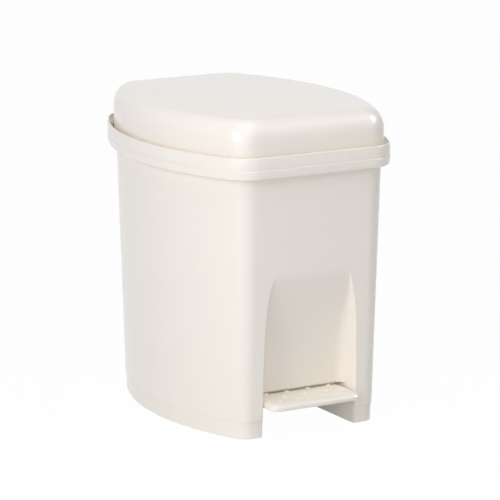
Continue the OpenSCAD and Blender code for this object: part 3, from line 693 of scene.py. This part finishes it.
def collar():
    """The lip, ledge and tongue as one closed profile carried round the rim, with the shelf
    over the push rod and the two hinge ears."""
    inside = LIP_SET + WALL
    profile = filleted([
        (8.0, LEDGE_Z, 0), (LEDGE_W, LEDGE_Z, 0.5), (LEDGE_W, SEAM_Z, 0.5),
        (inside + 2.6, SEAM_Z, 0.3), (inside + 2.2, SEAM_Z - 5, 0.4),
        (inside + 0.4, SEAM_Z - 5, 0.4), (inside, SEAM_Z, 0.2), (LIP_SET, SEAM_Z, 0.2),
        (LIP_SET, LIP_Z, 0.85), (LIP_T, LIP_Z, 0.85), (LIP_T, SLOPE_Z, 1.5),
        (SLOPE_IN, SLOPE_FOOT, 0.6), (SLOPE_IN, LEDGE_Z, 0.3), (7.8, LEDGE_Z, 0)], 6)
    parts = [ring(rim(profile[:, 0], profile[:, 1]))]
    outline = rim([LIP_T / 2], [SEAM_Z])[0, :, :2]
    behind = outline[outline[:, 1] > SHELF_Y + 1]
    inner_x = FORK_GAP + FORK_T + 1.5
    inner_y = HINGE_Y - BARREL_R - 1.5
    reach = float(side_half(LIP_T / 2, SHELF_Y))
    shelf = np.concatenate([[(reach, SHELF_Y)], behind, [(-reach, SHELF_Y), (-inner_x, SHELF_Y),
                            (-inner_x, inner_y), (inner_x, inner_y), (inner_x, SHELF_Y)]])
    parts.append(plate(shelf, SEAM_Z + 0.05, LEDGE_Z + 0.05, 0))
    ear = ear_loop(SEAM_Z + 0.5, BARREL_R)
    return parts + both(plate(ear, EAR_X - EAR_W / 2, EAR_X + EAR_W / 2, 0.4, "x"))


piece("collar_ring", collar(), ivory_gloss, "casing", "ivory_shell", "rim_collar")

# ---- lid ----


def lid_grid(t, z0):
    """Rows of the lid's skin, drawn in by t, from the height z0: an upright skirt, a shoulder
    that is a quarter of an ellipse, and a crown whose height falls off by the square of the
    distance from its peak. Gives the grid and the peak."""
    s0 = LID_INSET + t
    skirt = np.linspace(z0, SHOULDER_Z, 9)[:-1]
    a = np.linspace(0, math.pi / 2, 27)
    shoulder_in = s0 + (SHOULDER_W - t) * (1 - np.cos(a))
    shoulder_z = SHOULDER_Z + (BROW_Z - t - SHOULDER_Z) * np.sin(a)
    inset = np.concatenate([np.full(len(skirt), s0), shoulder_in])
    z = np.concatenate([skirt, shoulder_z])
    radius = np.maximum(10, CORNER_R - s0 - 0.5 * (inset - s0))
    body = boxed(inset, FRONT_Y + inset, BACK_Y - inset, radius, z)
    k = np.linspace(1, 0, 16)[1:-1]
    brow = body[-1]
    crown = np.empty((len(k),) + brow.shape)
    crown[..., 0] = brow[:, 0] * k[:, None]
    crown[..., 1] = MID_Y + (brow[:, 1] - MID_Y) * k[:, None]
    crown[..., 2] = (BROW_Z - t + CROWN * (1 - k ** 2))[:, None]
    return np.concatenate([body, crown]), (0.0, MID_Y, BROW_Z - t + CROWN)


def lid():
    """Domed shell with notches for the collar's ears and a relief for the push rod's head,
    the fork for the crank pin, and two hinge knuckles."""
    outer, peak = lid_grid(0.0, SKIRT_Z)
    inner, inner_peak = lid_grid(LID_T, SKIRT_Z)
    mid = (outer[:-1] + outer[1:]) / 2
    after = np.roll(mid, -1, 1)
    x, z = np.abs(mid[..., 0] + after[..., 0]) / 2, mid[..., 2]
    behind = np.minimum(mid[..., 1], after[..., 1]) > HINGE_Y - BARREL_R
    notch = (x > NOTCH_IN) & (x < NOTCH_OUT) & (z < HINGE_Z + BARREL_R + 1)
    relief = (x < RELIEF_X) & (z < RELIEF_Z)
    parts = [wall(outer, inner, ~(behind & (notch | relief)), (peak, inner_peak))]
    back = BACK_Y - LID_INSET - LID_T / 2
    cheek = np.array([(CRANK_Y + 1, CRANK_Z - 4.9), (back, SKIRT_Z + 1), (back, SHOULDER_Z + 5),
                      (CRANK_Y + 3, SHOULDER_Z + 8), (CRANK_Y - 4.6, CRANK_Z + 2)])
    parts += both(plate(cheek, FORK_GAP, FORK_GAP + FORK_T, 0.3, "x"))
    parts += both(rod(FORK_GAP, FORK_GAP + FORK_T, CRANK_R, CRANK_Y, CRANK_Z, 0.3))
    x0 = EAR_X + EAR_W / 2 + 0.3
    return parts + both(rod(x0, x0 + KNUCKLE_W, BARREL_R, HINGE_Y, HINGE_Z, 0.6))


piece("lid_dome", lid(), ivory_gloss, "lid", "ivory_shell", "lid")

# ---- pedal ----


def tread_rows(inset, z):
    """Rows of the tread's outline: a rectangle with round corners, drawn in by inset."""
    inset = np.asarray(inset, float)
    r = np.maximum(LEAST_R, TREAD_R - inset)
    hx, y0, y1 = TREAD_W / 2 - inset, TREAD_FRONT + inset, TREAD_BACK - inset
    t = np.linspace(0, 1, 9)
    full = np.full_like(r, math.pi / 2)
    corners = [(hx - r, y0 + r, -1), (hx - r, y1 - r, 0), (r - hx, y1 - r, 1), (r - hx, y0 + r, 2)]
    arcs = [arc(cx, cy, r, full * q, full * (q + 1), t) for cx, cy, q in corners]
    return lifted(np.concatenate(arcs, 1), z)


def tread():
    """Tray, open below, whose top rolls over into its lip: an elliptic roll outside, the same
    less the wall inside."""
    a = np.linspace(0, math.pi / 2, 15)
    low = TREAD_Z - LIP_DROP
    edge_z = [low, low + 0.4, low + 1.2]
    inset = np.concatenate([[0.9, 0.25, 0.0], ROLL_W * (1 - np.cos(a))])
    z = np.concatenate([edge_z, TREAD_Z - ROLL_H + ROLL_H * np.sin(a)])
    inner_in = np.concatenate([[1.5, TREAD_T, TREAD_T],
                               TREAD_T + (ROLL_W - TREAD_T) * (1 - np.cos(a))])
    inner_z = np.concatenate([edge_z, TREAD_Z - TREAD_T - 3.0 + 3.0 * np.sin(a)])
    outer, inner = tread_rows(inset, z), tread_rows(inner_in, np.maximum.accumulate(inner_z))
    centre = (0.0, (TREAD_FRONT + TREAD_BACK) / 2)
    return wall(outer, inner, None, ((*centre, TREAD_Z), (*centre, TREAD_Z - TREAD_T)))


def bump(x, y):
    """Grip bump: a small dome that flares into the tread."""
    profile = np.array([(3.2, -0.5), (3.0, 0.02), (2.6, 0.16), (2.2, 0.46), (1.8, 0.86),
                        (1.3, 1.18), (0.7, 1.36), (0.25, 1.4)])
    a = np.linspace(0, 2 * math.pi, 24, endpoint=False)
    r, z = profile.T
    grid = np.stack([x + r[:, None] * np.cos(a), y + r[:, None] * np.sin(a),
                     np.broadcast_to(TREAD_Z + z[:, None], (len(r), len(a)))], -1)
    return capped(grid)


def bumps():
    """Rows of bumps, each row centred on the tread."""
    for row, count in enumerate(BUMP_ROWS):
        for i in range(count):
            yield bump((i - (count - 1) / 2) * BUMP_PITCH_X,
                       TREAD_FRONT + 11.5 + row * BUMP_PITCH_Y)


def lever_section(y, half, top):
    """Channel, open below: the corners of its cross-section at each y, as a closed loop."""
    low, under, inside = top - LEVER_H, top - LEVER_T, half - LEVER_T
    x = np.stack([half, half, -half, -half, -inside, -inside, inside, inside], -1)
    z = np.stack([low, top, top, low, low, under, under, low], -1)
    y = np.broadcast_to(np.asarray(y, float)[:, None], x.shape)
    return np.stack([x, y, z], -1)


def lever():
    """Channel from the tread over the axle, narrowing towards the tail, then two fork arms."""
    top_y = np.array([TREAD_BACK - 16, AXLE_Y - 26, AXLE_Y, TAIL_Y - 12, TAIL_Y])
    top_z = np.array([TREAD_Z - 2, AXLE_Z + 10, AXLE_Z + 7.5, TAIL_Z + 6, TAIL_Z + 4.6])
    half_y = np.array([TREAD_BACK - 16, AXLE_Y - 26, AXLE_Y + 26, TAIL_Y])
    half_x = np.array([LEVER_W / 2, LEVER_W / 2, FORK_GAP + FORK_T, FORK_GAP + FORK_T])
    plate_end = ROD_Y - 10
    even = np.linspace(TREAD_BACK - 14, plate_end, 40)
    y = np.unique(np.concatenate([even, half_y[1:3], top_y[1:4]]))
    y = y[y <= plate_end]
    channel = lever_section(y, np.interp(y, half_y, half_x), np.interp(y, top_y, top_z))
    parts = [capped(channel[:, ::-1])]
    ya = np.array([plate_end - 3, TAIL_Y])
    za = np.interp(ya, top_y, top_z)
    arm = [(ya[0], za[0]), (ya[0], za[0] - 9.2), (ya[1], za[1] - 9.2), (ya[1], za[1])]
    parts += both(plate(arm, FORK_GAP, FORK_GAP + FORK_T, 0.3, "x"))
    parts += both(rod(FORK_GAP, FORK_GAP + FORK_T, TAIL_R, TAIL_Y, TAIL_Z, 0.3))
    parts.append(rod(1 - TUNNEL_X, TUNNEL_X - 1, HUB_R, AXLE_Y, AXLE_Z, 0.5))
    for share in (0.3, 0.6):
        y0 = AXLE_Y + (ROD_Y - AXLE_Y) * share
        z0 = np.interp(y0, top_y, top_z)
        x0 = np.interp(y0, half_y, half_x) - 1
        parts.append(block((-x0, y0, z0 - 8), (x0, y0 + 2, z0 - 1), 0))
    return parts


upstand = block((-UPSTAND_X, TREAD_BACK - UPSTAND_T, TREAD_Z - 1.5),
                (UPSTAND_X, TREAD_BACK, TREAD_Z + UPSTAND_H), 0.4)
pedal_parts = [tread(), upstand, *bumps(), *lever()]
piece("pedal_lever", pedal_parts, ivory_gloss, "pedal", "ivory_shell", "pedal")

# ---- bucket ----


def bucket_rows(share, inset, z):
    """Rows of the bucket's outline at a share of its height: towards the foot the front wall
    rakes back, the sides draw in and the back wall leans forward."""
    down = 1 - share
    return boxed(BUCKET_IN + BUCKET_DRAFT * down + inset,
                 BUCKET_FRONT + BUCKET_RAKE * down + inset,
                 BUCKET_BACK - BUCKET_LEAN * down - inset, BUCKET_R - inset / 2, z)


def bucket():
    """Tapered tub with a rounded floor edge and a rolled-out flange, and the handle's pads."""
    wall_z = np.linspace(BUCKET_Z0 + 6, BUCKET_TOP - 3, 34)
    foot = filleted([(16, BUCKET_Z0, 0), (0, BUCKET_Z0, 5.0), (0, BUCKET_Z0 + 5.5, 0)], 9)
    lip = filleted([(0, BUCKET_TOP - 2.5, 0), (0, BUCKET_TOP, 0.8), (-FLANGE_W, BUCKET_TOP, 0.3),
                    (-FLANGE_W, BUCKET_TOP + FLANGE_T, 0.9),
                    (BUCKET_T, BUCKET_TOP + FLANGE_T, 0.9), (BUCKET_T, BUCKET_TOP, 0)], 6)
    inset = np.concatenate([foot[:, 0], np.zeros(len(wall_z)), lip[:, 0]])
    z = np.concatenate([foot[:, 1], wall_z, lip[:, 1]])
    inner_foot = filleted([(16, BUCKET_Z0 + BUCKET_T, 0), (BUCKET_T, BUCKET_Z0 + BUCKET_T, 4.0),
                           (BUCKET_T, BUCKET_Z0 + 5.5, 0)], 9)
    inner_lip_z = np.linspace(BUCKET_TOP - 2.5, BUCKET_TOP - 0.05, len(lip))
    inner_in = np.concatenate([inner_foot[:, 0], np.full(len(wall_z) + len(lip), BUCKET_T)])
    inner_z = np.concatenate([inner_foot[:, 1], wall_z, inner_lip_z])
    outer = bucket_rows(np.clip((z - BUCKET_Z0) / BUCKET_H, 0, 1), inset, z)
    inner = bucket_rows(np.clip((inner_z - BUCKET_Z0) / BUCKET_H, 0, 1), inner_in, inner_z)
    # the floor: rows from the middle out to the foot's edge
    k = np.linspace(0, 1, 6)[1:-1]
    y_mid = outer[0, :, 1].mean()

    def floor(row):
        rows = np.repeat(row[None], len(k), 0)
        rows[..., 0] *= k[:, None]
        rows[..., 1] = y_mid + (row[:, 1] - y_mid) * k[:, None]
        return rows

    outer = np.concatenate([floor(outer[0]), outer])[::-1]
    inner = np.concatenate([floor(inner[0]), inner])[::-1]
    tub = wall(outer, inner, None, ((0, y_mid, BUCKET_Z0), (0, y_mid, BUCKET_Z0 + BUCKET_T)))
    parts = [(tub[0], [f[::-1] for f in tub[1]])]
    side_in = BUCKET_IN + BUCKET_DRAFT * (BUCKET_TOP - HANDLE_Z) / BUCKET_H
    skin = float(side_half(side_in, HANDLE_Y))
    pad = rod(skin - BUCKET_T - PAD_T, skin + PAD_T, 5.5, HANDLE_Y, HANDLE_Z, 0.4)
    return parts + both(pad)


def handle():
    """Strap that follows the bucket's front half just inside its mouth, with an eye and a pin at
    each end: a rounded rectangle carried along the outline."""
    low = HANDLE_Z - STRAP_H / 2
    gap = BUCKET_T + PAD_T + EYE_GAP
    side_in = BUCKET_IN + BUCKET_DRAFT * (BUCKET_TOP - low) / BUCKET_H + gap
    front_in = BUCKET_FRONT + BUCKET_RAKE * (BUCKET_TOP - low) / BUCKET_H + gap
    profile = filleted([(0, STRAP_H / 2, 0), (0, 0, 1.0), (STRAP_W, 0, 1.0),
                        (STRAP_W, STRAP_H, 1.0), (0, STRAP_H, 1.0), (0, STRAP_H / 2, 0)], 5)[:-1]
    inset, z = profile[:, 0], low + profile[:, 1]
    rows = boxed(side_in + inset, front_in + inset, HANDLE_Y + 60.0, 19 - 0.6 * inset, z)
    right = rows[0, :rows.shape[1] // 2, 1]
    stop = int(np.nonzero(right < HANDLE_Y)[0][-1]) + 1
    path = np.concatenate([rows[:, -stop + 1:], rows[:, :stop]], 1)
    end_x = side_half(side_in + inset, HANDLE_Y)
    end = np.stack([end_x, np.full_like(end_x, HANDLE_Y), z], -1)[:, None]
    path = np.concatenate([end * (-1, 1, 1), path, end], 1)
    strap = capped(np.swapaxes(path, 0, 1))
    reach = float(side_half(side_in, HANDLE_Y))
    eyes = both(rod(reach - STRAP_W, reach, 5.0, HANDLE_Y, HANDLE_Z, 0.6))
    pins = both(rod(reach - 1, reach + gap - 0.1, 2.5, HANDLE_Y, HANDLE_Z, 0.3))
    return [strap] + eyes + pins


piece("bucket_tub", bucket(), bucket_satin, "bucket", "bucket_plastic", "inner_bucket")
piece("bucket_bail", handle(), bucket_satin, "handle", "bucket_plastic", "bucket_handle")

# ---- floor, light and camera ----

FLOOR_REACH = 6.0       # metres
FLOOR_GLOW = 0.98       # share of pure white in the floor the camera sees
FLOOR_WHITE = (0.85, 0.85, 0.85)
WORLD_LIGHT = 0.15
LAMP_TINT = (0.929, 0.941, 1.0)
LAMP_GAIN = 1.065
LIT_POINT = (0, 10, 150)


def seen(tree):
    """1 for rays from the camera and from glossy surfaces, and 0 for all others."""
    path = tree.nodes.new("ShaderNodeLightPath")
    return maths(tree, "MAXIMUM", path.outputs["Is Camera Ray"], path.outputs["Is Glossy Ray"])


def mixed(tree, out, share, first, second):
    """A surface made of two shaders, with the given share of the second."""
    mix = tree.nodes.new("ShaderNodeMixShader")
    for value, s in zip((share, first.outputs[0], second.outputs[0]), mix.inputs):
        tree.links.new(value, s)
    tree.links.new(mix.outputs[0], out.inputs["Surface"])


def stage_material():
    """White floor: pure white to the camera, with a trace of the shadow, and plain white to
    the light."""
    m = bpy.data.materials.new("floor_white")
    m.use_nodes = True
    tree = m.node_tree
    tree.nodes.clear()
    out = tree.nodes.new("ShaderNodeOutputMaterial")
    plain = tree.nodes.new("ShaderNodeBsdfDiffuse")
    plain.inputs["Color"].default_value = (*FLOOR_WHITE, 1)
    glow = tree.nodes.new("ShaderNodeEmission")
    mixed(tree, out, maths(tree, "MULTIPLY", seen(tree), FLOOR_GLOW), plain, glow)
    return m


def floor_piece():
    """Square of floor under the bin, which isn't part of it."""
    mesh = bpy.data.meshes.new("floor")
    corners = np.array([(-1, -1, 0), (1, -1, 0), (1, 1, 0), (-1, 1, 0)]) * FLOOR_REACH
    mesh.from_pydata(corners.tolist(), [], [(0, 1, 2, 3)])
    mesh.materials.append(stage_material())
    thing = bpy.data.objects.new("floor", mesh)
    bpy.context.scene.collection.objects.link(thing)


def world():
    """White to the camera and in reflections, and a soft even light to everything else."""
    w = bpy.data.worlds.new("studio")
    bpy.context.scene.world = w
    w.use_nodes = True
    tree = w.node_tree
    tree.nodes.clear()
    out = tree.nodes.new("ShaderNodeOutputWorld")
    light = tree.nodes.new("ShaderNodeBackground")
    light.inputs["Color"].default_value = (*LAMP_TINT, 1)
    light.inputs["Strength"].default_value = WORLD_LIGHT * LAMP_GAIN
    white = tree.nodes.new("ShaderNodeBackground")
    white.inputs["Color"].default_value = (1, 1, 1, 1)
    white.inputs["Strength"].default_value = 1.0
    mixed(tree, out, seen(tree), light, white)


def placed(side, back, place):
    """Matrix of a lamp or camera at place, in millimetres, that looks away from back."""
    columns = np.column_stack([side, np.cross(back, side), back, np.multiply(place, MM)])
    return Matrix([*columns.tolist(), (0, 0, 0, 1)])


def softbox(name, place, width, height, power):
    """Rectangular area lamp at place, facing the lit point, in millimetres, its power in watts
    before the gain."""
    data = bpy.data.lights.new(name, "AREA")
    data.shape = "RECTANGLE"
    data.size, data.size_y = width * MM, height * MM
    data.energy = power * LAMP_GAIN
    data.color = LAMP_TINT
    lamp = bpy.data.objects.new(name, data)
    bpy.context.scene.collection.objects.link(lamp)
    back = np.subtract(place, LIT_POINT)
    back = back / np.linalg.norm(back)
    side = np.cross((0, 0, 1), back)
    side /= np.linalg.norm(side)
    lamp.matrix_world = placed(side, back, place)
    return lamp


floor_piece()
world()
softbox("key_left", (-1483, -599, 900), 900, 900, 10.2)
softbox("low_left_front", (-1455, -1221, 350), 1800, 700, 6.3)
softbox("top_soft", (0, 0, 1700), 1400, 1400, 5.5)
softbox("top_front", (0, -900, 1500), 1400, 1400, 6.4)
softbox("spark_left", (-1103, -2074, 1005), 180, 180, 2.4)
softbox("fill_right", (1763, -1479, 1127), 500, 500, 3.6)
sparkle = softbox("spark_right", (1834, -901, 1595), 260, 260, 42.0)
sparkle.visible_diffuse = False         # seen in the gloss alone

CAMERA_TURN = math.radians(-29.8)       # from straight in front
CAMERA_RISE = math.radians(12.3)        # above level
CAMERA_FAR = 2972.0
TARGET = np.array((10.2, 0.75, 152.8))
FOCAL_PX, FRAME_PX, SENSOR_MM = 2979.0, 500.0, 36.0

level = math.cos(CAMERA_RISE)
back = np.array((math.sin(CAMERA_TURN) * level, -math.cos(CAMERA_TURN) * level,
                 math.sin(CAMERA_RISE)))
side = np.array((math.cos(CAMERA_TURN), math.sin(CAMERA_TURN), 0.0))
camera_data = bpy.data.cameras.new("camera")
camera_data.sensor_width = SENSOR_MM
camera_data.lens = FOCAL_PX * SENSOR_MM / FRAME_PX
camera_data.clip_end = 50.0
camera = bpy.data.objects.new("camera", camera_data)
bpy.context.scene.collection.objects.link(camera)
camera.matrix_world = placed(side, back, TARGET + back * CAMERA_FAR)
bpy.context.scene.camera = camera
bpy.context.scene.view_settings.view_transform = "Standard"
